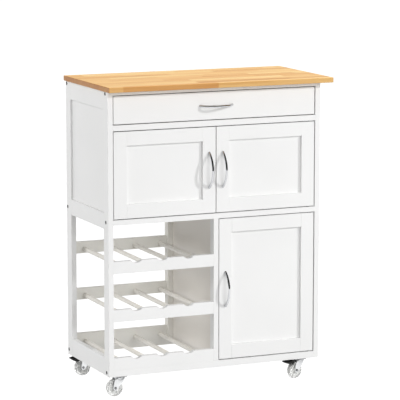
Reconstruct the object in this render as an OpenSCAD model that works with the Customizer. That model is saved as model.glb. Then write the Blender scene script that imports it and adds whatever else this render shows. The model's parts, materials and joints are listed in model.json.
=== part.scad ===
// Kitchen island cart: drawer, two-door cupboard, one-door cupboard, bottle rack and four castors.
// X runs left to right, Y front to back, Z up. The origin is on the floor, under the worktop's middle.

/* [Worktop] */
// Length of the worktop, left to right
top_l = 696; // [680:1:720]
// Depth of the worktop, front to back
top_d = 365; // [365:1:372]
// Thickness of the worktop
top_t = 15; // [12:1:30]
// How far the worktop reaches past the frame on the left
over_left = 7; // [7:1:15]
// How far the worktop reaches past the frame at the front
over_front = 29; // [29:1:36]

/* [Frame] */
// Width of the frame across the outer posts
frame_w = 660; // [640:1:680]
// Depth of the frame
frame_d = 336; // [330:1:336]
// Height of the frame, from its bottom rail to the worktop
frame_h = 815; // [812:1:850]
// Thickness of every post and rail
board_t = 15; // [15:1:18]
// Depth of a post, front to back
post_d = 37; // [35:1:38]
// Thickness of the side, back and divider panels
panel_t = 5; // [4:0.5:6]
// Height of the frame's bottom rail
bottom_rail_h = 19.5; // [18:0.5:24]
// Height of the side rails
side_rail_h = 52; // [40:1:60]

/* [Front openings] */
// Height of the drawer's opening
drawer_open_h = 84; // [80:0.5:90]
// Height of the rail under the drawer
drawer_rail_h = 16.5; // [15:0.5:20]
// Height of the upper doors' opening
upper_open_h = 252.5; // [240:0.5:260]
// Gap around every door and drawer front
front_gap = 2.5; // [2.2:0.1:3]
// Thickness of a door and of the drawer front
front_t = 16; // [15:1:17]
// Width of a door's stiles
stile_w = 40; // [36:1:46]
// Height of a door's rails
door_rail_h = 40; // [36:1:48]

/* [Bottle rack] */
// Height from one tier of dowels to the next
tier_pitch = 139; // [130:0.5:140]
// Height of the lowest tier's dowels above the frame's bottom
tier_z = 37; // [36:0.5:40]
// Distance between the dowels of a tier
dowel_pitch = 80; // [76:1:82]
// Place of the first dowel, from the frame's left face
dowel_x = 49; // [46:1:54]
// Diameter of a dowel
dowel_d = 13; // [10:0.5:14]
// Depth of the hollows that hold the bottles' necks
scallop_depth = 7; // [4:1:9]

/* [Handles] */
// Distance between a handle's two feet
handle_span = 100; // [90:1:104]
// How far a handle's bow stands out
handle_rise = 30; // [24:1:30]
// Diameter of a handle's bar
handle_d = 6; // [5:0.5:7]

/* [Castors] */
// Diameter of a wheel
wheel_d = 50; // [49:0.5:50]
// Width of a wheel
wheel_w = 17; // [15:1:17]
// Distance from the swivel's axis back to the wheel's axle
trail = 15; // [12:1:16]

/* [Hidden] */
$fn = 48;
white = "#f2f2ef";
birch = "#ece8df";
honey = "#e3b57c";
chrome = "#c9ccd0";
dark = "#2c2c2e";
clear_grey = "#c4c6c8";

// Heights inside the frame, from the frame's bottom
castor_h = 60;
front_rail_h = 11;
drawer_top = frame_h - front_rail_h;
drawer_floor = drawer_top - drawer_open_h;
upper_top = drawer_floor - drawer_rail_h;
upper_floor = upper_top - upper_open_h;
lower_top = upper_floor - board_t;
lower_floor = bottom_rail_h;
back_top = frame_h - side_rail_h;
back_rail_z = 3;
back_rail_top = 62;
middle_rail_z = lower_top - 13;
middle_rail_top = middle_rail_z + 46;
side_bottom_h = 52;

// Places across the frame, from its left face
inner_l = board_t;
inner_r = frame_w - board_t;
middle = frame_w / 2 + 1.3;
middle_l = middle - board_t / 2;
middle_r = middle + board_t / 2;
post_back_y = frame_d - post_d;
rail_back_y = frame_d - board_t;
panel_inset = 6;
divider_inset = 3;
middle_post_d = 26;
back_middle_l = middle_l - 13;
slack = 0.05;

// Door pivots stand this far in from the hinge edge and back from the door's face
pivot_in = 15;
pivot_y = 9.2;
pin_r = 2.5;
pin_in_door = 18;
pin_in_rail = 6;
bush_r = 4.5;
bush_h = 7;
panel_tongue = 6;

// Doors and drawer stand this far back from the frame's front face
front_in = 1.2;
front_back = front_in + front_t;

// Room behind a door's face for the edge that swings in behind its pivot
door_swing = 11;
door_panel_y = 9.2;
left_pivot_x = inner_l + front_gap + pivot_in;
right_pivot_x = inner_r - front_gap - pivot_in;

// A door is [x from, x to, z from, z to]
upper_left_door = [inner_l + front_gap, middle - front_gap / 2,
                   upper_floor + front_gap, upper_top - front_gap];
upper_right_door = [middle + front_gap / 2, inner_r - front_gap,
                    upper_floor + front_gap, upper_top - front_gap];
lower_door = [middle_r + front_gap, inner_r - front_gap, lower_floor + front_gap, lower_top - front_gap];

// Drawer box
box_l = 30;
box_r = frame_w - box_l;
box_t = 12;
box_z = drawer_floor + 9;
box_h = 62;
box_back = 290;
groove_d = 5.5;
groove_h = 11;
groove_z = box_z + box_h / 2;
guide_play = 0.4;
drawer_floor_t = 4;
drawer_floor_z = box_z + 5;

// Castor heights above the floor
plate_t = 2;
plate_w = 38;
race_r = 14;
race_h = 2.2;
king_r = 4;
king_top = castor_h - 0.2;
crown_h = 2;
crown_top = castor_h - plate_t - race_h - 0.4;
crown_z = crown_top - crown_h;
wheel_r = wheel_d / 2;
axle_r = 3;
leg_t = 2;
leg_y = wheel_w / 2 + 1;
pedal_x = -4;
pedal_z = 50.4;
pedal_r = 2.4;
pedal_pin_r = 1.2;
plate_hole = 13.5;

// Castors: [x, y, heading of the trailing wheel]
castor_y = 20;
castor_back_y = frame_d - 38;
castor_front_left = [37.5, castor_y, 0];
castor_front_right = [frame_w - 55.5, castor_y, 18];
castor_back_left = [44.6, castor_back_y, 0];
castor_back_right = [frame_w - 55.5, castor_back_y, -25];
castors = [castor_front_left, castor_front_right, castor_back_left, castor_back_right];

// Frame bolts: radii, depth of the sunk head, reach into the rail
bolt_head_r = 5.5;
bolt_head_h = 3;
bolt_sunk = 0.3;
bolt_r = 3;
bolt_reach = 40;
bolt_front_y = 21;
bolt_back_y = frame_d - board_t / 2;
bolt_front_z = [frame_h - 7, lower_top + board_t / 2, bottom_rail_h / 2];
bolt_back_z = [frame_h - 8, lower_top + board_t / 2, back_rail_z + 12];

// A box given by its ranges along x, y and z
module block(x, y, z) {
    translate([x[0], y[0], z[0]]) cube([x[1] - x[0], y[1] - y[0], z[1] - z[0]]);
}

// Moves frame coordinates, from the frame's front left bottom corner, to the part's origin
module in_frame() {
    translate([over_left - top_l / 2, over_front - top_d / 2, castor_h]) children();
}

// ---- Frame bolts and the holes for them ----

// One bolt from the outer face inwards; side is 0 on the left and 1 on the right
module bolt_at(side, y, z, grow) {
    translate([side * frame_w, y, z]) mirror([side, 0, 0]) rotate([0, 90, 0]) {
        translate([0, 0, grow > 0 ? -1 : bolt_sunk])
            cylinder(r = bolt_head_r + grow, h = bolt_head_h + (grow > 0 ? 1 + bolt_sunk : 0));
        shank_from = bolt_sunk + bolt_head_h / 2;
        translate([0, 0, shank_from]) cylinder(r = bolt_r + grow, h = bolt_reach - shank_from + grow);
    }
}

module bolts_front(side, grow) {
    for (z = bolt_front_z) bolt_at(side, bolt_front_y, z, grow);
}

module bolts_back(side, grow) {
    for (z = bolt_back_z) bolt_at(side, bolt_back_y, z, grow);
}

// All the holes in the frame's boards
module bolt_holes() {
    for (side = [0, 1]) {
        bolts_front(side, slack);
        bolts_back(side, slack);
    }
}

module frame_bolts() {
    color(dark) in_frame() for (side = [0, 1]) {
        bolts_front(side, 0);
        bolts_back(side, 0);
    }
}

// ---- Posts and rails ----

module worktop() {
    color(honey) translate([-top_l / 2, -top_d / 2, castor_h + frame_h]) cube([top_l, top_d, top_t]);
}

// A corner post with its bolt holes
module corner_post(x, y) {
    color(white) in_frame() difference() {
        block([x, x + board_t], [y, y + post_d], [0, frame_h]);
        bolt_holes();
    }
}

module post_front_left() { corner_post(0, 0); }
module post_front_right() { corner_post(inner_r, 0); }
module post_back_left() { corner_post(0, post_back_y); }
module post_back_right() { corner_post(inner_r, post_back_y); }

module post_front_middle() {
    color(white) in_frame() block([middle_l, middle_r], [0, middle_post_d], [bottom_rail_h, lower_top]);
}

// Notched at its foot for the bottom back rail
module post_back_middle() {
    color(white) in_frame() difference() {
        block([back_middle_l, middle_r], [frame_d - middle_post_d, frame_d], [bottom_rail_h, lower_top]);
        block([back_middle_l - 1, middle_r + 1], [rail_back_y, frame_d + 1], [0, back_rail_top]);
    }
}

// A rail between the outer posts, with its bolt holes and the holes for the pivot bushes
module long_rail(y, z) {
    color(white) in_frame() difference() {
        block([inner_l, inner_r], y, z);
        bolt_holes();
        bush_holes();
    }
}

module front_top_rail() { long_rail([0, post_d], [drawer_top, frame_h]); }
module drawer_rail() { long_rail([0, post_d], [upper_top, drawer_floor]); }
module back_top_rail() { long_rail([rail_back_y, frame_d], [back_top, frame_h]); }
module cabinet_floor() { long_rail([0, frame_d], [lower_top, upper_floor]); }
module bottom_front_rail() { long_rail([0, post_d], [0, bottom_rail_h]); }

// Also bored for the lowest tier's dowels
module bottom_back_rail() {
    color(white) in_frame() difference() {
        block([inner_l, inner_r], [rail_back_y, frame_d], [back_rail_z, back_rail_top]);
        bolt_holes();
        dowel_holes();
    }
}

// The three rails of one side, between the front and back posts
module side_rails(x) {
    color(white) in_frame() {
        for (z = [[0, side_bottom_h], [middle_rail_z, middle_rail_top], [back_top, frame_h]])
            block([x, x + board_t], [post_d, post_back_y], z);
    }
}

module left_side_rails() { side_rails(0); }
module right_side_rails() { side_rails(inner_r); }

// ---- Panels ----

module left_side_panel() {
    color(white) in_frame()
        block([panel_inset, panel_inset + panel_t], [post_d, post_back_y], [middle_rail_top, back_top]);
}

// The right side is closed below as well
module right_side_panels() {
    right_face = frame_w - panel_inset;
    color(white) in_frame() for (z = [[side_bottom_h, middle_rail_z], [middle_rail_top, back_top]])
        block([right_face - panel_t, right_face], [post_d, post_back_y], z);
}

// A back panel, set in from the frame's back face
module back_panel(x, z) {
    back_face = frame_d - panel_inset;
    color(white) in_frame() block(x, [back_face - panel_t, back_face], z);
}

module upper_back_panel() { back_panel([inner_l, inner_r], [upper_floor, back_top]); }
module lower_back_panel() { back_panel([middle_r, inner_r], [back_rail_top, lower_top]); }

module divider_panel() {
    color(white) in_frame()
        block([middle_l + divider_inset, middle_l + divider_inset + panel_t],
              [middle_post_d, frame_d - middle_post_d], [bottom_rail_h, lower_top]);
}

// Floor of the lower cupboard
module bottom_panel() {
    color(white) in_frame()
        block([middle_r, inner_r], [front_back + door_swing, rail_back_y],
            [bottom_rail_h, bottom_rail_h + 12]);
}

// ---- Lower cupboard's loose shelf ----

shelf_z = 232;
shelf_t = 12;
shelf_pin_l = 8;
shelf_pin_r = 2.5;
shelf_pin_y = [32, frame_d - 31.5];

module lower_shelf() {
    color(white) in_frame()
        block([middle_r + 1, inner_r - 1], [front_back + door_swing + 1, frame_d - middle_post_d - 1],
              [shelf_z, shelf_z + shelf_t]);
}

// The left pins stand in the divider, the right ones in the posts
module shelf_pins() {
    color(chrome) in_frame() for (y = shelf_pin_y) {
        translate([middle_l + divider_inset + panel_t, y, shelf_z - shelf_pin_r]) rotate([0, 90, 0])
            cylinder(r = shelf_pin_r, h = 2 * shelf_pin_l);
        translate([inner_r - shelf_pin_l, y, shelf_z - shelf_pin_r]) rotate([0, 90, 0])
            cylinder(r = shelf_pin_r, h = shelf_pin_l);
    }
}

// ---- Bottle rack ----

rack_front_h = 35;
rack_back_h = 34;
rack_back_up = 4.5;
scallop_r = 20;
scallop_shift = -3;
dowel_in_rail = 8;
dowel_front_y = board_t - dowel_in_rail;
dowel_back_y = rail_back_y + dowel_in_rail;
tiers = [0, 1, 2];
dowels = [0, 1, 2, 3];

function tier_height(tier) = tier_z + tier * tier_pitch;

// One dowel, or with grow above 0 the hole that it sits in
module dowel_at(tier, number, grow) {
    translate([dowel_x + number * dowel_pitch, dowel_front_y, tier_height(tier)]) rotate([-90, 0, 0])
        cylinder(d = dowel_d + 2 * grow, h = dowel_back_y - dowel_front_y);
}

module dowel_holes() {
    for (tier = tiers) for (number = dowels) dowel_at(tier, number, slack);
}

// A front rail carries the dowels' front ends, and is hollowed between them for the bottles' necks
module rack_front_rail(tier) {
    rail_top = bottom_rail_h + rack_front_h + tier * tier_pitch;
    difference() {
        block([inner_l, middle_l], [0, board_t], [rail_top - rack_front_h, rail_top]);
        dowel_holes();
        for (gap = [0, 1, 2])
            translate([dowel_x + (gap + 0.5) * dowel_pitch + scallop_shift, -1,
                       rail_top + scallop_r - scallop_depth])
                rotate([-90, 0, 0]) cylinder(r = scallop_r, h = board_t + 2);
    }
}

module rack_front_rails() {
    color(white) in_frame() for (tier = tiers) rack_front_rail(tier);
}

// The lowest tier's dowels end in the frame's bottom back rail
module rack_back_rails() {
    color(white) in_frame() for (tier = [1, 2]) difference() {
        translate([0, 0, tier_height(tier) + rack_back_up])
            block([inner_l, back_middle_l], [rail_back_y, frame_d], [-rack_back_h / 2, rack_back_h / 2]);
        dowel_holes();
    }
}

module rack_dowels() {
    color(birch) in_frame() for (tier = tiers) for (number = dowels) dowel_at(tier, number, 0);
}

// ---- Drawer ----

module drawer_guides() {
    for (side = [0, 1])
        color(birch) in_frame() translate([side * frame_w, 0, 0]) mirror([side, 0, 0])
            block([inner_l, box_l + groove_d - guide_play], [front_back + 1, rail_back_y - 2],
                  [groove_z - groove_h / 2 + guide_play, groove_z + groove_h / 2 - guide_play]);
}

module drawer_front() {
    color(white) in_frame()
        block([inner_l + front_gap, inner_r - front_gap], [front_in, front_back],
              [drawer_floor + front_gap, drawer_top - front_gap]);
}

// Both sides, each with the groove that the guide runs in
module drawer_sides() {
    for (side = [0, 1])
        color(birch) in_frame() translate([side * frame_w, 0, 0]) mirror([side, 0, 0]) difference() {
            block([box_l, box_l + box_t], [front_back, box_back], [box_z, box_z + box_h]);
            block([box_l - 1, box_l + groove_d], [front_back - 1, box_back + 1],
                  [groove_z - groove_h / 2, groove_z + groove_h / 2]);
        }
}

module drawer_back() {
    color(birch) in_frame()
        block([box_l + box_t, box_r - box_t], [box_back - box_t, box_back], [box_z, box_z + box_h]);
}

module drawer_bottom() {
    color(birch) in_frame()
        block([box_l + box_t, box_r - box_t], [front_back, box_back - box_t],
              [drawer_floor_z, drawer_floor_z + drawer_floor_t]);
}

// ---- Handles ----

// A bow handle that stands out along -Y from y = 0, with its feet along Z
module bow_handle() {
    chord = handle_span / 2;
    bow_rise = handle_rise - handle_d / 2;
    bow_r = (chord * chord + bow_rise * bow_rise) / (2 * bow_rise);
    bow_y = bow_r - bow_rise;
    color(chrome) {
        intersection() {
            translate([0, bow_y, 0]) rotate([0, 90, 0])
                rotate_extrude() translate([bow_r, 0]) circle(d = handle_d, $fn = 24);
            block([-handle_d, handle_d], [-handle_rise - 1, 0], [-handle_span, handle_span]);
        }
    }
}

// A handle on a door's stile, upright
module door_handle(x, door) {
    in_frame() translate([x, front_in, (door[2] + door[3]) / 2]) bow_handle();
}

module drawer_handle() {
    in_frame() translate([middle, front_in, (drawer_floor + drawer_top) / 2])
        rotate([0, 90, 0]) bow_handle();
}

// ---- Doors ----

module door_opening(door, grow, y) {
    block([door[0] + stile_w - grow, door[1] - stile_w + grow], y,
          [door[2] + door_rail_h - grow, door[3] - door_rail_h + grow]);
}

// Two stiles and two rails, each a piece, grooved for the panel and bored for the pivot pins
module door_frame(door, pivot_x) {
    rail_x = [door[0] + stile_w + slack, door[1] - stile_w - slack];
    door_y = [front_in, front_back];
    color(white) in_frame() difference() {
        union() {
            block([door[0], door[0] + stile_w], door_y, [door[2], door[3]]);
            block([door[1] - stile_w, door[1]], door_y, [door[2], door[3]]);
            block(rail_x, door_y, [door[2], door[2] + door_rail_h]);
            block(rail_x, door_y, [door[3] - door_rail_h, door[3]]);
        }
        door_opening(door, panel_tongue, [door_panel_y, door_panel_y + panel_t]);
        for (z = [door[2] - 1, door[3] - pin_in_door])
            translate([pivot_x, pivot_y, z]) cylinder(r = pin_r, h = pin_in_door + 1);
    }
}

module door_panel(door) {
    color(white) in_frame() door_opening(door, panel_tongue, [door_panel_y, door_panel_y + panel_t]);
}

strike_w = 14;
strike_t = 1.5;
strike_in = 50;

// The two pivot pins and the plate that the catch holds
module door_fittings(door, pivot_x, strike_x) {
    pin_l = pin_in_door + front_gap + pin_in_rail;
    color(chrome) in_frame() {
        for (z = [door[2] - front_gap - pin_in_rail, door[3] - pin_in_door])
            translate([pivot_x, pivot_y, z]) cylinder(r = pin_r, h = pin_l);
        block([strike_x - strike_w / 2, strike_x + strike_w / 2], [front_back, front_back + strike_t],
              [door[3] - 17, door[3] - 5]);
    }
}

module upper_left_door_frame() { door_frame(upper_left_door, left_pivot_x); }
module upper_left_door_panel() { door_panel(upper_left_door); }
module upper_left_handle() { door_handle(upper_left_door[1] - stile_w / 2, upper_left_door); }
module upper_left_fittings() {
    door_fittings(upper_left_door, left_pivot_x, upper_left_door[1] - strike_in);
}

module upper_right_door_frame() { door_frame(upper_right_door, right_pivot_x); }
module upper_right_door_panel() { door_panel(upper_right_door); }
module upper_right_handle() { door_handle(upper_right_door[0] + stile_w / 2, upper_right_door); }
module upper_right_fittings() {
    door_fittings(upper_right_door, right_pivot_x, upper_right_door[0] + strike_in);
}

module lower_door_frame() { door_frame(lower_door, right_pivot_x); }
module lower_door_panel() { door_panel(lower_door); }
module lower_handle() { door_handle(lower_door[0] + stile_w / 2, lower_door); }
module lower_fittings() { door_fittings(lower_door, right_pivot_x, lower_door[0] + strike_in); }

// A bush of bush_h in the rail, or the hole for it; up is 1 for a door's top pin and 0 for its foot
module bush_at(x, rail_face, up, grow) {
    bush_z = up == 1 ? rail_face - grow : rail_face - bush_h;
    translate([x, pivot_y, bush_z]) cylinder(r = bush_r, h = bush_h + grow);
}

module all_bushes(grow) {
    for (x = [left_pivot_x, right_pivot_x]) {
        bush_at(x, upper_top, 1, grow);
        bush_at(x, upper_floor, 0, grow);
    }
    bush_at(right_pivot_x, lower_top, 1, grow);
    bush_at(right_pivot_x, lower_floor, 0, grow);
}

module bush_holes() { all_bushes(1); }

module pivot_bushes() {
    color(dark) in_frame() difference() {
        all_bushes(0);
        for (x = [left_pivot_x, right_pivot_x])
            translate([x, pivot_y, lower_top - 2]) cylinder(r = pin_r + slack, h = frame_h);
        translate([right_pivot_x, pivot_y, -1]) cylinder(r = pin_r + slack, h = lower_top + bush_h);
    }
}

// Magnet blocks that hold the doors shut, under the rail above each door
module door_catches() {
    catch_y = [front_back + strike_t + 0.3, front_back + strike_t + 14.3];
    catch_h = 14;
    color(dark) in_frame() {
        for (x = [upper_left_door[1] - strike_in, upper_right_door[0] + strike_in])
            block([x - 20, x + 20], catch_y, [upper_top - catch_h, upper_top]);
        block([lower_door[0] + strike_in - 20, lower_door[0] + strike_in + 20], catch_y,
              [lower_top - catch_h, lower_top]);
    }
}

// ---- Castors ----

// Places a castor's pieces, which stand on the floor round the swivel's axis and trail along -X
module at_castor(castor) {
    translate([over_left - top_l / 2 + castor[0], over_front - top_d / 2 + castor[1], 0])
        rotate([0, 0, castor[2]]) children();
}

// Corner blocks that the plates are screwed to
module castor_blocks() {
    block_w = 50;
    color(white) in_frame() for (x = [[inner_l, inner_l + block_w], [inner_r - block_w - 10, inner_r]]) {
        block(x, [post_d, board_t + block_w], [0, bottom_rail_h]);
        block(x, [rail_back_y - block_w, rail_back_y], [0, bottom_rail_h]);
    }
}

module castor_plates() {
    color(chrome) for (castor = castors)
        at_castor([castor[0], castor[1], 0]) difference() {
            union() {
                translate([-plate_w / 2, -plate_w / 2, castor_h - plate_t])
                    cube([plate_w, plate_w, plate_t]);
                translate([0, 0, castor_h - plate_t - race_h]) cylinder(r = race_r, h = race_h);
            }
            translate([0, 0, castor_h - 10]) cylinder(r = king_r + slack, h = 20);
        }
}

// Heads of the screws that hold the plates
module castor_screws() {
    color(chrome) for (castor = castors) at_castor([castor[0], castor[1], 0])
        for (x = [-plate_hole, plate_hole]) for (y = [-plate_hole, plate_hole])
            translate([x, y, castor_h - plate_t - 1.6]) cylinder(r = 3, h = 1.6, $fn = 24);
}

// One leg's outline, seen along Y
module leg_outline() {
    leg_w = 6;
    polygon([[-8, crown_top], [8, crown_top], [7, crown_z - 2], [-trail + leg_w, wheel_r],
             [-trail - leg_w, wheel_r], [-trail - leg_w, wheel_r + 8]]);
    translate([-trail, wheel_r]) circle(r = leg_w);
}

// Crown, legs and king pin in one, with the axle and the brake's pin as pieces of their own
module fork(castor, braked) {
    color(chrome) at_castor(castor) {
        difference() {
            union() {
                translate([0, 0, crown_z]) cylinder(r = race_r, h = crown_h);
                translate([0, 0, crown_z]) cylinder(r = king_r, h = king_top - crown_z);
                for (y = [-leg_y - leg_t, leg_y]) translate([0, y + leg_t, 0]) rotate([90, 0, 0])
                    linear_extrude(leg_t) leg_outline();
            }
            translate([-trail, -20, wheel_r]) rotate([-90, 0, 0]) cylinder(r = axle_r + slack, h = 40);
            if (braked) translate([pedal_x, -20, pedal_z]) rotate([-90, 0, 0])
                cylinder(r = pedal_pin_r + slack, h = 40);
        }
        axle_half = leg_y + leg_t;
        translate([-trail, -axle_half, wheel_r]) rotate([-90, 0, 0])
            cylinder(r = axle_r, h = 2 * axle_half);
        if (braked) translate([pedal_x, -axle_half, pedal_z]) rotate([-90, 0, 0])
            cylinder(r = pedal_pin_r, h = 2 * axle_half);
    }
}

module fork_front_left() { fork(castor_front_left, false); }
module fork_front_right() { fork(castor_front_right, true); }
module fork_back_left() { fork(castor_back_left, true); }
module fork_back_right() { fork(castor_back_right, false); }

// Tyre with rounded shoulders round a wider hub
module wheel(castor) {
    half = wheel_w / 2;
    shoulder = 2;
    bore_r = axle_r + slack;
    color(clear_grey) at_castor(castor) translate([-trail, 0, wheel_r]) rotate([-90, 0, 0])
        rotate_extrude($fn = 64) polygon([
            [bore_r, -half], [10, -half], [11, -half + 2], [15, -half + 2], [16, -half],
            [wheel_r - shoulder, -half], [wheel_r, -half + shoulder],
            [wheel_r, half - shoulder], [wheel_r - shoulder, half],
            [16, half], [15, half - 2], [11, half - 2], [10, half], [bore_r, half]]);
}

module wheel_front_left() { wheel(castor_front_left); }
module wheel_front_right() { wheel(castor_front_right); }
module wheel_back_left() { wheel(castor_back_left); }
module wheel_back_right() { wheel(castor_back_right); }

// Brake lever: a boss on its pin between the legs, an arm over the tyre and a wedge to step on
module brake(castor) {
    arm_w = 17;
    wedge_w = 30;
    color(dark) at_castor(castor) translate([pedal_x, 0, pedal_z]) difference() {
        union() {
            rotate([90, 0, 0]) cylinder(r = pedal_r, h = 2 * leg_y - 0.6, center = true);
            rotate([90, 0, 0]) translate([0, 0, -arm_w / 2]) linear_extrude(arm_w)
                polygon([[-6, 1], [0, 0], [0, 2.4], [-15, 2.4], [-23.5, 7.4], [-28, 7.2], [-28, -3.5],
                         [-20, 0], [-14, 1.2]]);
            rotate([90, 0, 0]) translate([0, 0, -wedge_w / 2]) linear_extrude(wedge_w)
                polygon([[-23.5, 7.4], [-30, 7], [-47, 3.4], [-47, 1.2], [-33, -5.5], [-28, -3.5],
                         [-23.5, -1.5]]);
        }
        rotate([90, 0, 0]) cylinder(r = pedal_pin_r + slack, h = 40, center = true);
    }
}

module brake_front_right() { brake(castor_front_right); }
module brake_back_left() { brake(castor_back_left); }

worktop();
post_front_left();
post_front_right();
post_back_left();
post_back_right();
post_front_middle();
post_back_middle();
front_top_rail();
drawer_rail();
back_top_rail();
cabinet_floor();
bottom_front_rail();
bottom_back_rail();
left_side_rails();
right_side_rails();
left_side_panel();
right_side_panels();
upper_back_panel();
lower_back_panel();
divider_panel();
bottom_panel();
lower_shelf();
shelf_pins();
rack_front_rails();
rack_back_rails();
rack_dowels();
frame_bolts();
drawer_guides();
pivot_bushes();
door_catches();
castor_blocks();
castor_plates();
castor_screws();
drawer_front();
drawer_sides();
drawer_back();
drawer_bottom();
drawer_handle();
upper_left_door_frame();
upper_left_door_panel();
upper_left_handle();
upper_left_fittings();
upper_right_door_frame();
upper_right_door_panel();
upper_right_handle();
upper_right_fittings();
lower_door_frame();
lower_door_panel();
lower_handle();
lower_fittings();
fork_front_left();
fork_front_right();
fork_back_left();
fork_back_right();
wheel_front_left();
wheel_front_right();
wheel_back_left();
wheel_back_right();
brake_front_right();
brake_back_left();
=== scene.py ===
"""Looks for the kitchen island cart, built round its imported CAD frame. Lengths are in metres, in the CAD's frame."""

import json
import math

import bmesh
import bpy
from mathutils import Matrix, Vector


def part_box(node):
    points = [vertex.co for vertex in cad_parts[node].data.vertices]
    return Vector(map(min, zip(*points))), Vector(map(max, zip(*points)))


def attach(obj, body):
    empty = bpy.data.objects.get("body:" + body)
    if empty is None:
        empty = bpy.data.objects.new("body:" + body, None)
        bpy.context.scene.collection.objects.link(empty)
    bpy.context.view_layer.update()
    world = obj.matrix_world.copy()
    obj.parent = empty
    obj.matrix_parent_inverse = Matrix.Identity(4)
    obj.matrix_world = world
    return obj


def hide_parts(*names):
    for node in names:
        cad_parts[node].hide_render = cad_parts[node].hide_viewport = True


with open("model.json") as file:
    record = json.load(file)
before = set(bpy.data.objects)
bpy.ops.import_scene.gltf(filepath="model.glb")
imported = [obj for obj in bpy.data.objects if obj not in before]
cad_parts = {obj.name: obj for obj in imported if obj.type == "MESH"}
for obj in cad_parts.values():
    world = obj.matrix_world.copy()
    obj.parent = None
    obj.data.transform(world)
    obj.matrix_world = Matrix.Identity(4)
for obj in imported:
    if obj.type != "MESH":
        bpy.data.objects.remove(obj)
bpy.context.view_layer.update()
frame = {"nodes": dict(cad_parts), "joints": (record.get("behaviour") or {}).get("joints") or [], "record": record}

CORNERS = ("front_left", "front_right", "back_left", "back_right")
DOORS = ("upper_left", "upper_right", "lower")
BODY_OF = {node: body for body, nodes in frame["record"]["behaviour"]["bodies"].items() for node in nodes}
JOINTS = {joint["name"]: joint for joint in frame["joints"]}
SLOT_OF = {entry["node"]: entry["material_slot"] for entry in frame["record"]["subparts"]}


# ---------------------------------------------------------------- material helpers

class Recipe:
    """One node-based material, with short calls for the nodes that it needs."""

    def __init__(self, name, roughness=0.5, metallic=0.0):
        self.material = bpy.data.materials.new(name)
        self.material.use_nodes = True
        self.tree = self.material.node_tree
        self.shader = self.tree.nodes["Principled BSDF"]
        self.shader.inputs["Roughness"].default_value = roughness
        self.shader.inputs["Metallic"].default_value = metallic
        self.place = self.add("ShaderNodeTexCoord").outputs["Object"]

    def add(self, kind, **settings):
        node = self.tree.nodes.new(kind)
        for name, value in settings.items():
            setattr(node, name, value)
        return node

    def feed(self, socket, value):
        """Gives a socket a link or a fixed value."""
        if isinstance(value, bpy.types.NodeSocket):
            self.tree.links.new(value, socket)
        else:
            socket.default_value = value

    def math(self, operation, a, b=0.0):
        node = self.add("ShaderNodeMath", operation=operation)
        self.feed(node.inputs[0], a)
        self.feed(node.inputs[1], b)
        return node.outputs[0]

    def vector(self, x, y, z):
        node = self.add("ShaderNodeCombineXYZ")
        for socket, value in zip(node.inputs, (x, y, z)):
            self.feed(socket, value)
        return node.outputs[0]

    def split(self, vector):
        node = self.add("ShaderNodeSeparateXYZ")
        self.feed(node.inputs[0], vector)
        return node.outputs

    def stretched(self, x, y, z, source=None):
        """The object's coordinates, multiplied along each axis."""
        node = self.add("ShaderNodeMapping")
        self.feed(node.inputs["Vector"], source or self.place)
        node.inputs["Scale"].default_value = (x, y, z)
        return node.outputs[0]

    def noise(self, vector, scale, detail=3.0, distortion=0.0):
        node = self.add("ShaderNodeTexNoise")
        self.feed(node.inputs["Vector"], vector)
        node.inputs["Scale"].default_value = scale
        node.inputs["Detail"].default_value = detail
        node.inputs["Distortion"].default_value = distortion
        return node.outputs["Fac"]

    def spread(self, value, low, high, from_low=0.3, from_high=0.7):
        """Maps a noise value to a range."""
        node = self.add("ShaderNodeMapRange")
        self.feed(node.inputs["Value"], value)
        node.inputs["From Min"].default_value = from_low
        node.inputs["From Max"].default_value = from_high
        node.inputs["To Min"].default_value = low
        node.inputs["To Max"].default_value = high
        return node.outputs[0]

    def blend(self, factor, a, b, mode="MIX"):
        node = self.add("ShaderNodeMix", data_type="RGBA", blend_type=mode)
        self.feed(node.inputs[0], factor)
        self.feed(node.inputs[6], a)
        self.feed(node.inputs[7], b)
        return node.outputs[2]

    def ramp(self, value, stops):
        node = self.add("ShaderNodeValToRGB")
        self.feed(node.inputs[0], value)
        elements = node.color_ramp.elements
        while len(elements) < len(stops):
            elements.new(0.5)
        for element, (position, colour) in zip(elements, stops):
            element.position = position
            element.color = (*colour, 1.0)
        return node.outputs[0]

    def colour(self, value):
        self.feed(self.shader.inputs["Base Color"], value)

    def rough(self, value):
        self.feed(self.shader.inputs["Roughness"], value)

    def bump(self, height, distance, strength=1.0):
        node = self.add("ShaderNodeBump")
        self.feed(node.inputs["Height"], height)
        node.inputs["Distance"].default_value = distance
        node.inputs["Strength"].default_value = strength
        self.tree.links.new(node.outputs[0], self.shader.inputs["Normal"])


def lacquer(name, light, shade, roughness):
    """Sprayed satin lacquer: nearly even colour, orange peel and a slight roll of the board under it."""
    recipe = Recipe(name)
    cloud = recipe.noise(recipe.place, 5.0, 2.0)
    recipe.colour(recipe.blend(recipe.spread(cloud, 0.0, 1.0), (*light, 1), (*shade, 1)))
    peel = recipe.noise(recipe.place, 420.0, 2.0)
    roll = recipe.noise(recipe.place, 38.0, 1.0)
    recipe.rough(recipe.spread(recipe.noise(recipe.place, 60.0), roughness - 0.04, roughness + 0.05))
    recipe.bump(recipe.math("ADD", recipe.math("MULTIPLY", peel, 0.35), roll), 0.0003, 0.25)
    return recipe.material


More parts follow.
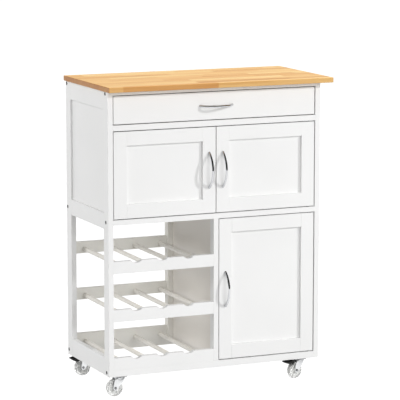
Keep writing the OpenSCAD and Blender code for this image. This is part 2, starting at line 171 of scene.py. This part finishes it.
def strip_wood(name):
    """Solid-wood board glued up from strips along X, each of finger-jointed lengths with its own tone."""
    strip, length, finger = 0.0325, 0.29, 0.0042
    recipe = Recipe(name)
    x, y, z = recipe.split(recipe.place)
    row = recipe.math("FLOOR", recipe.math("DIVIDE", y, strip))
    jitter = recipe.add("ShaderNodeTexWhiteNoise", noise_dimensions="1D")
    recipe.feed(jitter.inputs["W"], row)
    teeth = recipe.math("MULTIPLY", recipe.math("PINGPONG", y, finger), 1.6)
    along = recipe.math("ADD", recipe.math("ADD", x, teeth), recipe.math("MULTIPLY", jitter.outputs["Value"], 1.7))
    stave = recipe.math("FLOOR", recipe.math("DIVIDE", along, length))
    tone = recipe.add("ShaderNodeTexWhiteNoise", noise_dimensions="2D")
    recipe.feed(tone.inputs["Vector"], recipe.vector(row, stave, 0.0))
    tone = tone.outputs["Value"]

    shift = recipe.math("MULTIPLY", tone, 7.0)
    flow = recipe.vector(recipe.math("ADD", recipe.math("MULTIPLY", x, 2.2), shift),
                         recipe.math("ADD", recipe.math("MULTIPLY", y, 34.0), shift),
                         recipe.math("MULTIPLY", z, 34.0))
    figure = recipe.noise(flow, 1.0, 4.0, 1.4)
    fibre = recipe.noise(recipe.stretched(18.0, 620.0, 620.0), 1.0, 3.0)
    pores = recipe.noise(recipe.stretched(70.0, 1500.0, 1500.0), 1.0, 1.0)

    base = recipe.ramp(tone, [(0.0, WOOD_DARK), (0.45, WOOD_MID), (1.0, WOOD_LIGHT)])
    figured = recipe.blend(recipe.spread(figure, 0.0, 0.7, 0.42, 0.72), base, (*WOOD_FIGURE, 1), "MULTIPLY")
    fibred = recipe.blend(recipe.spread(fibre, 0.0, 0.22, 0.4, 0.7), figured, (*WOOD_FIGURE, 1), "MULTIPLY")
    glue = recipe.math("LESS_THAN", recipe.math("ABSOLUTE", recipe.math("SUBTRACT", recipe.math(
        "FRACT", recipe.math("ADD", recipe.math("DIVIDE", y, strip), 0.5)), 0.5)), 0.012)
    jointed = recipe.blend(recipe.math("MULTIPLY", glue, 0.35), fibred, (*WOOD_GLUE, 1))
    # Painted shade: faces looking along Y, the front and back edges, are darkened so the top reads brighter than the
    # sides. Faces looking along X, the ends, are darkened partly for darker end grain and partly as painted shade.
    facing = recipe.split(recipe.add("ShaderNodeNewGeometry").outputs["True Normal"])
    end_grain_and_shade_mask = recipe.spread(recipe.math("ABSOLUTE", facing[0]), 0.0, 1.0, 0.3, 0.9)
    edge_shade_mask = recipe.spread(recipe.math("ABSOLUTE", facing[1]), 0.0, 1.0, 0.3, 0.9)
    edge_shaded = recipe.blend(edge_shade_mask, jointed, (*WOOD_EDGE_SHADE, 1), "MULTIPLY")
    recipe.colour(recipe.blend(end_grain_and_shade_mask, edge_shaded, (*WOOD_END_GRAIN_AND_SHADE, 1), "MULTIPLY"))
    recipe.rough(recipe.spread(fibre, 0.34, 0.5))
    grain = recipe.math("SUBTRACT", recipe.math("MULTIPLY", fibre, 0.6), recipe.spread(pores, 0.0, 0.5, 0.6, 0.75))
    recipe.bump(recipe.math("SUBTRACT", grain, recipe.math("MULTIPLY", glue, 0.5)), 0.0002, 0.35)
    return recipe.material


def foiled_board(name, light, shade):
    """Pale wood with a faint grain, for the drawer's box and the rack's dowels."""
    recipe = Recipe(name)
    grain = recipe.noise(recipe.stretched(6.0, 90.0, 90.0), 1.0, 4.0, 0.6)
    recipe.colour(recipe.blend(recipe.spread(grain, 0.0, 1.0), (*light, 1), (*shade, 1)))
    recipe.rough(recipe.spread(grain, 0.42, 0.55))
    recipe.bump(grain, 0.0001, 0.3)
    return recipe.material


def polished(name, colour, rough_low, rough_high):
    """Plated metal with faint wipe marks in its gloss."""
    recipe = Recipe(name, metallic=1.0)
    wipes = recipe.noise(recipe.stretched(60.0, 60.0, 14.0), 1.0, 4.0, 1.0)
    dust = recipe.noise(recipe.place, 900.0, 1.0)
    recipe.colour(recipe.blend(recipe.spread(wipes, 0.0, 1.0), (*colour, 1), (*[c * 0.93 for c in colour], 1)))
    recipe.rough(recipe.spread(recipe.math("ADD", recipe.math("MULTIPLY", wipes, 0.7),
                                           recipe.math("MULTIPLY", dust, 0.3)), rough_low, rough_high))
    recipe.bump(wipes, 0.00005, 0.15)
    return recipe.material


def moulded(name, light, shade, roughness, grain_size):
    """Moulded plastic with a fine spark-eroded grain."""
    recipe = Recipe(name)
    grain = recipe.noise(recipe.place, grain_size, 2.0)
    flow = recipe.noise(recipe.place, 60.0, 2.0)
    recipe.colour(recipe.blend(recipe.spread(flow, 0.0, 1.0), (*light, 1), (*shade, 1)))
    recipe.rough(recipe.spread(grain, roughness - 0.05, roughness + 0.08))
    recipe.bump(grain, 0.00015, 0.3)
    return recipe.material


def clear_plastic(name):
    """Translucent pale grey plastic of the wheels, cloudy inside."""
    recipe = Recipe(name)
    cloud = recipe.noise(recipe.place, 240.0, 2.0)
    recipe.colour(recipe.blend(recipe.spread(cloud, 0.0, 1.0), (0.97, 0.97, 0.96, 1), (0.91, 0.91, 0.90, 1)))
    recipe.rough(recipe.spread(cloud, 0.16, 0.28))
    recipe.shader.inputs["Transmission Weight"].default_value = 0.75
    recipe.shader.inputs["IOR"].default_value = 1.47
    recipe.bump(cloud, 0.0002, 0.2)
    return recipe.material


WOOD_LIGHT = (0.96, 0.70, 0.33)
WOOD_MID = (0.87, 0.535, 0.215)
WOOD_DARK = (0.70, 0.36, 0.12)
WOOD_FIGURE = (0.80, 0.66, 0.50)
WOOD_GLUE = (0.42, 0.22, 0.08)
# Painted shade on the board's front and back edges. The end colour is partly darker end grain, partly painted shade.
WOOD_EDGE_SHADE = (0.78, 0.69, 0.57)
WOOD_END_GRAIN_AND_SHADE = (0.56, 0.40, 0.26)

WHITE = lacquer("white_lacquer", (0.87, 0.87, 0.865), (0.84, 0.84, 0.835), 0.36)
WOOD = strip_wood("strip_wood")
# Painted shade: a warmer, slightly darker copy of the white lacquer for the boards inside the cabinet and rack,
# standing in for their shade and warm reflected light.
SHADED_INNER_WHITE = lacquer("inner_lacquer_painted_shade", (0.87, 0.855, 0.805), (0.84, 0.825, 0.775), 0.40)
# Painted shade: a warmer, darker copy of the white for the panels inside the cabinet and rack, standing in for their
# shade and warm reflected light.
SHADED_INNER_PANEL = lacquer("inner_panel_painted_shade", (0.84, 0.805, 0.755), (0.81, 0.775, 0.725), 0.42)
DOWEL = foiled_board("dowel_wood", (0.88, 0.86, 0.81), (0.82, 0.79, 0.73))
BIRCH = foiled_board("pale_board", (0.80, 0.74, 0.63), (0.72, 0.65, 0.53))
CHROME = polished("chrome", (0.62, 0.63, 0.645), 0.05, 0.12)
FORK_STEEL = polished("fork_steel", (0.80, 0.81, 0.82), 0.24, 0.38)
ZINC = polished("zinc_plate", (0.66, 0.67, 0.69), 0.22, 0.36)
# Painted shade: a darkened copy of the plated steel for the castor plates and axle bolts, standing in for the shadow
# under the frame and the shading on the nuts.
SHADED_PLATE_STEEL = polished("plate_steel_painted_shade", (0.30, 0.30, 0.31), 0.30, 0.45)
BLACK = moulded("black_plastic", (0.004, 0.004, 0.004), (0.007, 0.007, 0.007), 0.70, 1400.0)
DARK_STEEL = moulded("blackened_steel", (0.014, 0.014, 0.015), (0.026, 0.025, 0.024), 0.45, 900.0)
WHEEL_CLEAR = clear_plastic("wheel_plastic")
WHEEL_GREY = moulded("hub_plastic", (0.86, 0.86, 0.84), (0.70, 0.71, 0.70), 0.30, 800.0)

MATERIAL_OF_SLOT = {
    "white_lacquer": WHITE, "worktop_wood": WOOD, "drawer_wood": BIRCH, "dark_steel": DARK_STEEL,
    "black_plastic": BLACK, "chrome": CHROME, "zinc_steel": ZINC, "wheel_plastic": WHEEL_CLEAR,
}


# ---------------------------------------------------------------- mesh helpers

def into_scene(name, mesh, material):
    piece = bpy.data.objects.new(name, mesh)
    bpy.context.scene.collection.objects.link(piece)
    mesh.materials.clear()
    mesh.materials.append(material)
    return piece


def smooth_by_angle(mesh, degrees):
    """Smooth shading, apart from edges sharper than the angle."""
    work = bmesh.new()
    work.from_mesh(mesh)
    for face in work.faces:
        face.smooth = True
    for edge in work.edges:
        sharp = not edge.is_manifold or edge.calc_face_angle(0.0) > math.radians(degrees)
        edge.smooth = not sharp
    work.to_mesh(mesh)
    work.free()


def standing_for(piece, *nodes):
    """The piece rides with the body of the first CAD node, and the nodes are hidden."""
    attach(piece, BODY_OF[nodes[0]])
    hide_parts(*nodes)


def softened(node, width, material=None, segments=2):
    """A copy of a CAD node with its sharp edges rounded, in place of the node."""
    mesh = frame["nodes"][node].data.copy()
    work = bmesh.new()
    work.from_mesh(mesh)
    bmesh.ops.remove_doubles(work, verts=work.verts, dist=1e-6)
    bmesh.ops.dissolve_limit(work, angle_limit=math.radians(1.0), verts=work.verts, edges=work.edges)
    curved = {f for e in work.edges if e.is_manifold and 0.5 < math.degrees(e.calc_face_angle(0.0)) < 30
              for f in e.link_faces}
    for face in work.faces:
        face.smooth = face in curved
    sharp = [e for e in work.edges if e.is_manifold and e.calc_face_angle(0.0) > math.radians(30)]
    rounds = bmesh.ops.bevel(work, geom=sharp, offset=width, segments=segments, profile=0.5, affect="EDGES",
                             clamp_overlap=True)
    for face in rounds["faces"]:
        face.smooth = True
    work.to_mesh(mesh)
    work.free()
    piece = into_scene(node + "_finished", mesh, material or MATERIAL_OF_SLOT[SLOT_OF[node]])
    standing_for(piece, node)
    return piece


def mesh_of(name, work, degrees=35):
    bmesh.ops.recalc_face_normals(work, faces=work.faces)
    mesh = bpy.data.meshes.new(name)
    work.to_mesh(mesh)
    work.free()
    smooth_by_angle(mesh, degrees)
    return mesh


def loft(work, rings, close_rings=False):
    """Skins rings of points that all have the same count; open ends are capped."""
    rows = [[work.verts.new(point) for point in ring] for ring in rings]
    count = len(rows[0])
    pairs = list(zip(rows, rows[1:])) + ([(rows[-1], rows[0])] if close_rings else [])
    for low, high in pairs:
        for i in range(count):
            j = (i + 1) % count
            work.faces.new((low[i], low[j], high[j], high[i]))
    if not close_rings:
        work.faces.new(rows[0])
        work.faces.new(rows[-1])


def turned(work, profile, place, sides=40, closed=False, shape=None):
    """A turned shape: the profile lists (radius, height) along the Z of the place matrix.

    A negative radius marks a ring that follows shape(angle) instead of a circle.
    """
    rings = []
    for radius, height in profile:
        ring = []
        for i in range(sides):
            angle = 2 * math.pi * i / sides
            reach = radius * (shape(angle) if shape and radius < 0 else 1.0)
            ring.append(place @ Vector((abs(reach) * math.cos(angle), abs(reach) * math.sin(angle), height)))
        rings.append(ring)
    loft(work, rings, close_rings=closed)


def hexagon(angle):
    """How far a hexagon with corners at 1 reaches at an angle."""
    sector = math.pi / 3
    return math.cos(sector / 2) / math.cos(angle % sector - sector / 2)


def prism(work, outline, thickness, place, bevel=0.0, segments=2):
    """An outline in the XY of the place matrix, raised along its Z, with its rims rounded."""
    low = [work.verts.new(place @ Vector((x, y, 0))) for x, y in outline]
    high = [work.verts.new(place @ Vector((x, y, thickness))) for x, y in outline]
    rims = []
    for rim in (low, high):
        face = work.faces.new(rim)
        rims += list(face.edges)
    for i in range(len(outline)):
        j = (i + 1) % len(outline)
        work.faces.new((low[i], low[j], high[j], high[i]))
    if bevel:
        bmesh.ops.bevel(work, geom=rims, offset=bevel, segments=segments, profile=0.5, affect="EDGES",
                        clamp_overlap=True)


def rounded(corners, radius, steps=5):
    """An outline with every corner rounded; a corner may give its own radius as a third number."""
    outline = []
    for i, corner in enumerate(corners):
        here = Vector(corner[:2])
        before = Vector(corners[i - 1][:2]) - here
        after = Vector(corners[(i + 1) % len(corners)][:2]) - here
        cut = min(corner[2] if len(corner) > 2 else radius, before.length * 0.48, after.length * 0.48)
        start, end = here + before.normalized() * cut, here + after.normalized() * cut
        for k in range(steps + 1):
            t = k / steps
            outline.append(((1 - t) ** 2 * start + 2 * t * (1 - t) * here + t ** 2 * end)[:])
    return outline


def frame_of(origin, x_axis, z_axis):
    """A matrix with the given origin, X and Z."""
    x_axis, z_axis = Vector(x_axis).normalized(), Vector(z_axis).normalized()
    y_axis = z_axis.cross(x_axis)
    return Matrix.Translation(Vector(origin)) @ Matrix((x_axis, y_axis, z_axis)).transposed().to_4x4()


# ---------------------------------------------------------------- handles

BAR_R = 0.0031
FOOT_R = 0.0038
FOOT_H = 0.0020


def bow_handle(node, along):
    """A polished bow with turned feet, along Z or X, that follows its CAD node's box."""
    low, high = (Vector(corner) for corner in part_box(node))
    middle = (low + high) / 2
    axis = Vector((0, 0, 1)) if along == "Z" else Vector((1, 0, 0))
    side = axis.cross(Vector((0, 1, 0)))
    length = (high - low).dot(axis)
    chord = length / 2 - FOOT_R
    face, front = high.y, low.y
    rise = face - front - BAR_R
    radius = (chord ** 2 + rise ** 2) / (2 * rise)
    reach = math.asin(chord / radius)
    steps, sides = 44, 20
    rings = []
    for i in range(steps + 1):
        t = -1 + 2 * i / steps
        angle = reach * t
        out = radius * math.cos(angle) - (radius - rise)
        centre = Vector((middle.x, face - out, middle.z)) + axis * radius * math.sin(angle)
        normal = Vector((0, -1, 0)) * math.cos(angle) + axis * math.sin(angle)
        thick = BAR_R * (1 + 0.32 * abs(t) ** 5)
        ring = []
        for k in range(sides):
            turn = 2 * math.pi * k / sides
            ring.append(centre + (normal * math.cos(turn) + side * math.sin(turn)) * thick)
        rings.append(ring)
    for ring in rings:
        for point in ring:
            point.y = min(point.y, face)
    work = bmesh.new()
    loft(work, rings)
    for end in (-1, 1):
        foot = Vector((middle.x, face, middle.z)) + axis * chord * end
        turned(work, [(FOOT_R, 0.0), (FOOT_R, FOOT_H * 0.6), (FOOT_R * 0.9, FOOT_H)],
               frame_of(foot, side, (0, -1, 0)), 28)
    piece = into_scene(node + "_bow", mesh_of(node, work, 40), CHROME)
    standing_for(piece, node)


bow_handle("drawer_handle", "X")
for door in DOORS:
    bow_handle(door + "_handle", "Z")


# ---------------------------------------------------------------- bolts and screws

BOLT_R = 0.0055
BOLT_HEAD_H = 0.003
BOLT_SHAFT_R = 0.003
BOLT_L = 0.0395


def socket_head(work, place, radius, height, socket, depth, shaft_r=0.0, shaft=0.0):
    """A screw head with a hexagon socket, seen along the place's Z, with its shaft behind it."""
    profile = [(radius * 0.9, -height)]
    if shaft:
        profile = [(shaft_r * 0.9, -shaft), (shaft_r, -shaft + 0.001), (shaft_r, -height)] + profile
    profile += [(radius, -height * 0.85), (radius, -height * 0.25), (radius * 0.94, -height * 0.06),
                (radius * 0.86, 0.0), (-socket * 1.08, 0.0), (-socket, -0.0002), (-socket, -depth),
                (-socket * 0.3, -depth * 1.1)]
    turned(work, profile, place, 36, shape=hexagon)


def frame_bolt_heads():
    """Cup-headed bolts, three to a corner post, that sit just under the outer faces."""
    low, high = (Vector(corner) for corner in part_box("frame_bolts"))
    work = bmesh.new()
    for side, x in ((-1, low.x), (1, high.x)):
        for y in (low.y + BOLT_R, high.y - BOLT_R):
            for z in bolt_heights(side, y):
                place = frame_of((x, y, z), (0, 1, 0), (side, 0, 0))
                socket_head(work, place, BOLT_R, BOLT_HEAD_H, 0.0030, 0.0022, BOLT_SHAFT_R, BOLT_L)
    piece = into_scene("frame_bolts_turned", mesh_of("frame_bolts", work, 32), DARK_STEEL)
    standing_for(piece, "frame_bolts")


def bolt_heights(side, y):
    """Heights of the bolts, found from the CAD's own heads at one corner post."""
    xs = [v.co for v in frame["nodes"]["frame_bolts"].data.vertices]
    reach = max(side * co.x for co in xs)
    heads = sorted(co.z for co in xs if side * co.x > reach - 0.0001 and abs(co.y - y) < 2 * BOLT_R)
    groups = []
    for z in heads:
        if groups and z - groups[-1][-1] < 3 * BOLT_R:
            groups[-1].append(z)
        else:
            groups.append([z])
    return [(group[0] + group[-1]) / 2 for group in groups]


frame_bolt_heads()


# ---------------------------------------------------------------- castors

WHEEL_R = JOINTS["wheel_spin_front_left"]["pos_m"][2]
TRAIL = 0.015
HALF_W = 0.0085
LEG_Y = 0.0095
LEG_T = 0.002
BRAKED = ("front_right", "back_left")
BRAKE_X, BRAKE_Z = -0.004, 0.0504
ARM_W, WEDGE_W, RIB_L = 0.017, 0.030, 0.024
CROWN_TOP = 0.0554
PLATE_HALF = 0.019
PLATE_T = 0.002
SCREW_AT = (-0.0135, 0.0135)


def castor_place(corner):
    """The castor's own frame: on the floor under the swivel, with the wheel trailing along -X."""
    pivot = Vector(JOINTS["swivel_" + corner]["pos_m"])
    axle = Vector(JOINTS["wheel_spin_" + corner]["pos_m"])
    forward = Vector((pivot.x - axle.x, pivot.y - axle.y, 0))
    return frame_of((pivot.x, pivot.y, 0), forward, (0, 0, 1))


def axle_place(corner):
    """The wheel's frame, with Z along its axle."""
    return castor_place(corner) @ Matrix.Translation((-TRAIL, 0, WHEEL_R)) @ Matrix.Rotation(math.pi / 2, 4, "X")


def wheel(corner):
    """Clear tyre over a ribbed hub."""
    place = axle_place(corner)
    r, w = WHEEL_R, HALF_W
    tyre = bmesh.new()
    side = [(r - 0.0072, w - 0.0022), (r - 0.0064, w - 0.0010), (r - 0.0048, w - 0.0004), (r - 0.0030, w - 0.0006),
            (r - 0.0016, w - 0.0018), (r - 0.0005, w - 0.0036), (r, w - 0.0058)]
    rim = side + [(x, -y) for x, y in reversed(side)] + [(r - 0.0078, -w + 0.004), (r - 0.0078, w - 0.004)]
    turned(tyre, rim, place, 72, closed=True)
    piece = into_scene("tyre_" + corner, mesh_of("tyre", tyre, 40), WHEEL_CLEAR)
    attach(piece, "wheel_body_" + corner)

    hub = bmesh.new()
    half = [(0.0032, w - 0.0002), (0.0058, w - 0.0002), (0.0064, w - 0.0010), (0.0068, w - 0.0052),
            (0.0148, w - 0.0056), (0.0156, w - 0.0028), (r - 0.0078, w - 0.0024)]
    turned(hub, half + [(x, -y) for x, y in reversed(half)], place, 56, closed=True)
    for k in range(6):
        turn = place @ Matrix.Rotation(k * math.pi / 3, 4, "Z")
        for side_z in (w - 0.0058, -w + 0.0022):
            prism(hub, [(0.0060, -0.0007), (0.0160, -0.0006), (0.0160, 0.0006), (0.0060, 0.0007)], 0.0036,
                  turn @ Matrix.Translation((0, 0, side_z)), 0.0002)
    piece = into_scene("hub_" + corner, mesh_of("hub", hub, 35), WHEEL_GREY)
    standing_for(piece, "wheel_" + corner)


def fork(corner):
    """Pressed steel fork: crown plate with its race, two legs, king pin and axle bolt."""
    place = castor_place(corner)
    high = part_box("fork_" + corner)[1]
    crown, outer = CROWN_TOP, LEG_Y + LEG_T
    work = bmesh.new()
    prism(work, rounded([(-0.0140, -0.0115, 0.003), (0.0130, -0.0115, 0.006), (0.0130, 0.0115, 0.006),
                         (-0.0140, 0.0115, 0.003)], 0.004), 0.0020,
          place @ Matrix.Translation((0, 0, crown - 0.0020)), 0.0005)
    turned(work, [(0.0105, crown - 0.0034), (0.0125, crown - 0.0030), (0.0136, crown - 0.0018),
                  (0.0138, crown - 0.0002)], place, 40)
    turned(work, [(0.0030, crown - 0.0050), (0.0042, crown - 0.0046), (0.0042, crown - 0.0020)], place, 24)
    turned(work, [(0.0038, crown - 0.001), (0.0038, high[2] - 0.0004), (0.0034, high[2])], place, 24)
    leg = rounded([(-0.0140, crown - 0.0004, 0.001), (0.0130, crown - 0.0004, 0.001), (0.0126, crown - 0.0060, 0.004),
                   (0.0040, 0.0370, 0.010), (-0.0088, 0.0236, 0.0045), (-0.0100, 0.0186, 0.005),
                   (-0.0204, 0.0188, 0.006), (-0.0212, 0.0280, 0.004), (-0.0196, 0.0420, 0.010)], 0.003)
    for y in (-LEG_Y, LEG_Y + LEG_T):
        plate = place @ Matrix.Translation((0, y, 0)) @ Matrix.Rotation(math.pi / 2, 4, "X")
        prism(work, leg, LEG_T, plate, 0.0004)
    axle = axle_place(corner)
    bolt = bmesh.new()
    for end in (-1, 1):
        flip = axle @ (Matrix.Rotation(math.pi, 4, "X") if end < 0 else Matrix.Identity(4))
        turned(bolt, [(0.0038, outer - 0.0002), (0.0039, outer + 0.0004), (-0.0034, outer + 0.0005),
                      (-0.0034, outer + 0.0020), (-0.0028, outer + 0.0025)], flip, 36, shape=hexagon)
    turned(bolt, [(0.003, -outer), (0.003, outer)], axle, 24)
    if corner in BRAKED:
        pin = place @ Matrix.Translation((BRAKE_X, 0, BRAKE_Z)) @ Matrix.Rotation(math.pi / 2, 4, "X")
        reach = outer + 0.0006
        turned(work, [(0.0016, -reach), (0.0022, -reach + 0.0004), (0.0022, -reach + 0.0008), (0.0012, -reach + 0.0009),
                      (0.0012, reach - 0.0009), (0.0022, reach - 0.0008), (0.0022, reach - 0.0004), (0.0016, reach)],
               pin, 20)
    piece = into_scene("fork_%s_pressed" % corner, mesh_of("fork", work, 35), FORK_STEEL)
    standing_for(piece, "fork_" + corner)
    # The axle bolts take the darkened steel: painted shade.
    piece = into_scene("axle_bolt_" + corner, mesh_of("axle_bolt", bolt, 35), SHADED_PLATE_STEEL)
    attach(piece, "castor_" + corner)


def brake(corner):
    """Moulded brake lever: boss, arm over the tyre and a wide ribbed wedge to step on."""
    place = castor_place(corner) @ Matrix.Translation((BRAKE_X, 0, BRAKE_Z)) @ Matrix.Rotation(math.pi / 2, 4, "X")
    work = bmesh.new()
    arm = rounded([(-0.0060, 0.0010), (0.0005, 0.0004), (0.0005, 0.0023), (-0.0150, 0.0023),
                   (-0.0235, 0.0072, 0.003), (-0.0280, 0.0071), (-0.0280, -0.0034), (-0.0200, 0.0001),
                   (-0.0140, 0.0012)], 0.0010, 3)
    prism(work, arm, ARM_W, place @ Matrix.Translation((0, 0, -ARM_W / 2)), 0.0008, 3)
    wedge = rounded([(-0.0236, 0.0072, 0.002), (-0.0300, 0.0069), (-0.0467, 0.0035), (-0.0469, 0.0013),
                     (-0.0330, -0.0054, 0.002), (-0.0280, -0.0035), (-0.0236, -0.0014)], 0.0012, 4)
    prism(work, wedge, WEDGE_W, place @ Matrix.Translation((0, 0, -WEDGE_W / 2)), 0.0016, 3)
    half = LEG_Y - 0.0004
    turned(work, [(0.0014, -half), (0.0022, -half), (0.0024, -half + 0.0003), (0.0024, half - 0.0003),
                  (0.0022, half), (0.0014, half)], place, 24, closed=True)
    slope = math.atan2(0.0069 - 0.0035, -0.0300 + 0.0467)
    for k in range(5):
        x = -0.0325 - 0.0026 * k
        y = 0.0035 + (x + 0.0467) * math.tan(slope)
        rib = place @ Matrix.Translation((x, y - 0.0004, -RIB_L / 2)) @ Matrix.Rotation(slope, 4, "Z")
        prism(work, [(-0.0006, 0.0), (0.0006, 0.0), (0.0004, 0.0010), (-0.0004, 0.0010)], RIB_L, rib)
    piece = into_scene("brake_%s_moulded" % corner, mesh_of("brake", work, 35), BLACK)
    standing_for(piece, "brake_" + corner)


def castor_plates():
    """Top plates with rounded corners and a ball race under each, and their screws."""
    plates, screws = bmesh.new(), bmesh.new()
    low, top = (corner[2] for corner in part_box("castor_plates"))
    half = PLATE_HALF
    square = rounded([(-half, -half), (half, -half), (half, half), (-half, half)], 0.0035)
    for corner in CORNERS:
        pivot = JOINTS["swivel_" + corner]["pos_m"]
        place = Matrix.Translation((pivot[0], pivot[1], 0))
        prism(plates, square, PLATE_T, place @ Matrix.Translation((0, 0, top - PLATE_T)), 0.0004)
        turned(plates, [(0.0105, low), (0.0128, low + 0.0002), (0.0138, low + 0.0011), (0.0140, top - 0.0019)],
               place, 44)
        for x in SCREW_AT:
            for y in SCREW_AT:
                head = frame_of((pivot[0] + x, pivot[1] + y, top - 0.0036), (1, 0, 0), (0, 0, -1))
                socket_head(screws, head, 0.003, 0.0016, 0.0014, 0.0009)
    # The plates take the darkened steel: painted shade under the frame.
    piece = into_scene("castor_plates_pressed", mesh_of("plates", plates, 35), SHADED_PLATE_STEEL)
    standing_for(piece, "castor_plates")
    piece = into_scene("castor_screws_turned", mesh_of("screws", screws, 35), ZINC)
    standing_for(piece, "castor_screws")


castor_plates()
for corner in CORNERS:
    wheel(corner)
    fork(corner)
for corner in BRAKED:
    brake(corner)


# ---------------------------------------------------------------- boards

BOARD_EDGE = 0.0006
PANEL_EDGE = 0.0004
WORKTOP_EDGE = 0.0016
RACK_EDGE = 0.0015
DOWEL_EDGE = 0.0006
FITTING_EDGE = 0.0002
BOARDS = (
    "post_front_left", "post_front_right", "post_back_left", "post_back_right", "post_front_middle",
    "post_back_middle", "front_top_rail", "drawer_rail", "back_top_rail", "cabinet_floor", "bottom_front_rail",
    "bottom_back_rail", "left_side_rails", "right_side_rails", "lower_shelf", "castor_blocks", "bottom_panel",
    "rack_back_rails", "drawer_front", "drawer_sides", "drawer_back", "drawer_guides",
    "upper_left_door_frame", "upper_right_door_frame", "lower_door_frame",
)
# The inner boards and panels take the painted-shade copies of the white.
INNER_PANELS = ("upper_back_panel", "lower_back_panel", "divider_panel")
INNER_BOARDS = ("back_top_rail", "bottom_back_rail", "rack_back_rails", "post_back_middle")
THIN_BOARDS = (
    "left_side_panel", "right_side_panels", "upper_back_panel", "lower_back_panel", "divider_panel",
    "drawer_bottom", "upper_left_door_panel", "upper_right_door_panel", "lower_door_panel",
)
FITTINGS = (
    "shelf_pins", "pivot_bushes", "door_catches", "upper_left_fittings", "upper_right_fittings", "lower_fittings",
)

softened("worktop", WORKTOP_EDGE, segments=3)
for node in BOARDS:
    softened(node, BOARD_EDGE, SHADED_INNER_WHITE if node in INNER_BOARDS else None)
softened("rack_front_rails", RACK_EDGE)
softened("rack_dowels", DOWEL_EDGE, DOWEL)
for node in THIN_BOARDS:
    softened(node, PANEL_EDGE, SHADED_INNER_PANEL if node in INNER_PANELS else None)
for node in FITTINGS:
    softened(node, FITTING_EDGE)


# ---------------------------------------------------------------- camera, lights and floor

# A camera above the worktop that looks down a little, with a long lens
CAMERA_PLACE = (-2.6685, -6.1450, 1.5957)
CAMERA_TURN = 23.523
CAMERA_TILT = 9.065
CAMERA_LENS = 208.79

AIM = (0, 0, 0.5)
WORLD_LIGHT = 0.40
KEY_PLACE, KEY_SIZE, KEY_POWER = (5.75, -5.50, 4.10), 0.6, 336.0
TOP_PLACE, TOP_AIM, TOP_SIZE, TOP_POWER = (0.4, 0.2, 3.2), (0, 0, 0.8), 1.6, 34.0
FILL_PLACE, FILL_SIZE, FILL_POWER = (0.6, -5.8, 1.8), 3.0, 129.0
SIDE_PLACE, SIDE_SIZE, SIDE_POWER = (-5.2, 0.4, 3.0), 3.0, 155.0
GLOW = 0.95
FLOOR_SIZE = 80.0
DOME_R = 30.0
CARD_HALF, CARD_HEIGHT = 5.0, 5.0


def place_camera():
    camera = bpy.data.cameras.new("camera")
    camera.lens = CAMERA_LENS
    camera.sensor_width = 36.0
    camera.clip_end = 100.0
    holder = bpy.data.objects.new("camera", camera)
    holder.location = CAMERA_PLACE
    holder.rotation_euler = (math.radians(90 - CAMERA_TILT), 0, -math.radians(CAMERA_TURN))
    bpy.context.scene.collection.objects.link(holder)
    bpy.context.scene.camera = holder


def softbox(name, place, aim, size, power):
    """A square area light that neither the camera nor polished metal shows."""
    light = bpy.data.lights.new(name, "AREA")
    light.shape = "RECTANGLE"
    light.size = size
    light.size_y = size
    light.energy = power
    holder = bpy.data.objects.new(name, light)
    holder.location = place
    holder.rotation_euler = (Vector(aim) - Vector(place)).to_track_quat("-Z", "Y").to_euler()
    holder.visible_glossy = False
    holder.visible_camera = False
    bpy.context.scene.collection.objects.link(holder)


def studio():
    world = bpy.data.worlds.new("studio")
    bpy.context.scene.world = world
    world.use_nodes = True
    sky = world.node_tree.nodes["Background"]
    sky.inputs["Color"].default_value = (1, 1, 1, 1)
    sky.inputs["Strength"].default_value = WORLD_LIGHT
    softbox("key", KEY_PLACE, AIM, KEY_SIZE, KEY_POWER)
    softbox("top", TOP_PLACE, TOP_AIM, TOP_SIZE, TOP_POWER)
    softbox("fill", FILL_PLACE, AIM, FILL_SIZE, FILL_POWER)
    softbox("side", SIDE_PLACE, AIM, SIDE_SIZE, SIDE_POWER)
    bpy.context.scene.view_settings.view_transform = "Standard"


def staged(name, recipe, light, shade, scale, glow=0.0, hidden_from=()):
    """Names the object just made, gives it a nearly even colour and any glow, and hides it from the given rays."""
    thing = bpy.context.object
    thing.name = name
    recipe.colour(recipe.blend(recipe.noise(recipe.place, scale), (light, light, light, 1), (shade, shade, shade, 1)))
    if glow:
        recipe.shader.inputs["Emission Color"].default_value = (1, 1, 1, 1)
        recipe.shader.inputs["Emission Strength"].default_value = glow
    thing.data.materials.append(recipe.material)
    for ray in hidden_from:
        setattr(thing, "visible_" + ray, False)


def pale_floor():
    bpy.ops.mesh.primitive_plane_add(size=FLOOR_SIZE, location=(0, 0, 0))
    staged("floor", Recipe("floor", roughness=0.8), 0.24, 0.22, 2.0, GLOW, ("diffuse",))


def white_backdrop():
    """A white dome far behind everything, which only the camera sees."""
    bpy.ops.mesh.primitive_uv_sphere_add(segments=48, ring_count=24, radius=DOME_R, location=(0, 0, 0))
    staged("backdrop", Recipe("backdrop", roughness=0.9), 0.24, 0.22, 0.1, GLOW,
           ("diffuse", "glossy", "transmission", "shadow"))


def dark_cards():
    """The unlit walls of the studio, which only polished metal shows."""
    half, height = CARD_HALF, CARD_HEIGHT
    for name, place, tilt, length in (("dark_front", (0, -half, height / 2), (90, 0, 0), height),
                                      ("dark_left", (-half, 0, height / 2), (90, 0, 90), height),
                                      ("dark_right", (half, 0, height / 2), (90, 0, 90), height),
                                      ("dark_overhead", (0, 0, height), (0, 0, 0), 2 * half)):
        bpy.ops.mesh.primitive_plane_add(size=1.0, location=place)
        card = bpy.context.object
        card.scale = (2 * half, length, 1.0)
        card.rotation_euler = [math.radians(angle) for angle in tilt]
        staged(name, Recipe(name, roughness=0.9), 0.02, 0.03, 1.0,
               hidden_from=("camera", "diffuse", "shadow", "transmission"))


place_camera()
studio()
pale_floor()
white_backdrop()
dark_cards()
